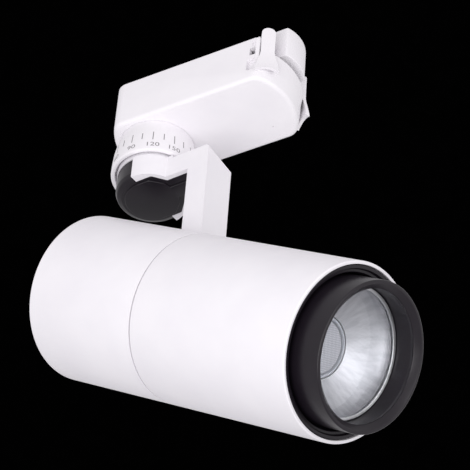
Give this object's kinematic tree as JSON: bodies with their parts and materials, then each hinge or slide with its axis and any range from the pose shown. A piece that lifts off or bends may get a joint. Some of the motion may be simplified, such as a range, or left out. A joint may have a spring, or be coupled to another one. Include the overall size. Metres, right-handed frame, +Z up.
{
  "type": "track spotlight",
  "caption": "Tubular zoom spotlight that tilts on an L-shaped arm, swivels under a degree ring and hangs from a track adapter with a sprung lock.",
  "frame": {"origin": "on the swivel axis, on the top face of the rail that enters the track", "axes": "+Z up into the track, +X along the adapter towards its latch; at rest the arm is turned 2.7 degrees about Z from +X and the lamp head points 32 degrees below the horizontal"},
  "size_m": [0.1553, 0.0703, 0.2089],
  "materials": {
    "white_paint": "matte",
    "white_plastic": "satin",
    "black_plastic": "satin",
    "grey_plastic": "matte",
    "clear_plastic": "gloss",
    "emitter": "gloss",
    "lens_glass": "gloss",
    "reflector_mirror": "polished",
    "bare_aluminium": "satin",
    "steel": "satin",
    "copper": "satin",
    "rubber": "matte",
    "lead_sheath": "satin"
  },
  "bodies": {
    "adapter": {"adapter_housing": "white_plastic", "adapter_cover": "white_plastic", "line_contact": "copper", "neutral_contact": "copper", "earth_contact": "copper", "cover_screw_rear": "steel", "cover_screw_front": "steel", "terminal_block": "grey_plastic", "scale_ring": "white_plastic", "thrust_washer": "grey_plastic", "adapter_lead": "lead_sheath", "latch_spring": "steel"},
    "latch": {"lock_latch": "white_plastic"},
    "arm": {"yoke_arm": "white_paint", "pivot_cap": "black_plastic", "pan_spindle": "steel", "spindle_nut": "steel", "wave_washer": "steel", "arm_lead": "lead_sheath"},
    "head": {"front_housing": "white_paint", "rear_housing": "white_paint", "coupling_sleeve": "bare_aluminium", "rear_cap": "white_plastic", "rear_cap_screw_1": "steel", "rear_cap_screw_2": "steel", "heat_sink": "bare_aluminium", "pivot_bracket": "steel", "bracket_screw_1": "steel", "bracket_screw_2": "steel", "tilt_bolt": "steel", "tilt_nut": "steel", "friction_washer_near": "grey_plastic", "friction_washer_far": "grey_plastic", "led_driver": "grey_plastic", "head_lead": "lead_sheath", "cob_board": "bare_aluminium", "cob_emitter": "emitter", "cob_holder": "clear_plastic", "front_flange": "black_plastic", "barrel_o_ring": "rubber"},
    "barrel": {"zoom_barrel": "black_plastic", "reflector": "reflector_mirror", "lens_glass": "lens_glass", "lens_retainer": "bare_aluminium"}
  },
  "joints": [
    {"name": "pan", "type": "hinge", "parent": "adapter", "child": "arm", "pos_m": [0, 0, -0.054], "axis": [0, 0, 1], "range_deg": [-175, 175]},
    {"name": "tilt", "type": "hinge", "parent": "arm", "child": "head", "pos_m": [0.02597, -0.00122, -0.1386], "axis": [0.0471, 0.9989, 0], "range_deg": [-32, 58]},
    {"name": "zoom", "type": "slide", "parent": "head", "child": "barrel", "axis": [0.8471, -0.0399, -0.5299], "range_m": [-0.008, 0.003]},
    {"name": "latch_pull", "type": "slide", "parent": "adapter", "child": "latch", "axis": [0, 0, -1], "range_m": [0, 0.0032], "stiffness_N_per_m": 500, "springref_m": -0.002, "deforming": ["latch_spring"]}
  ]
}
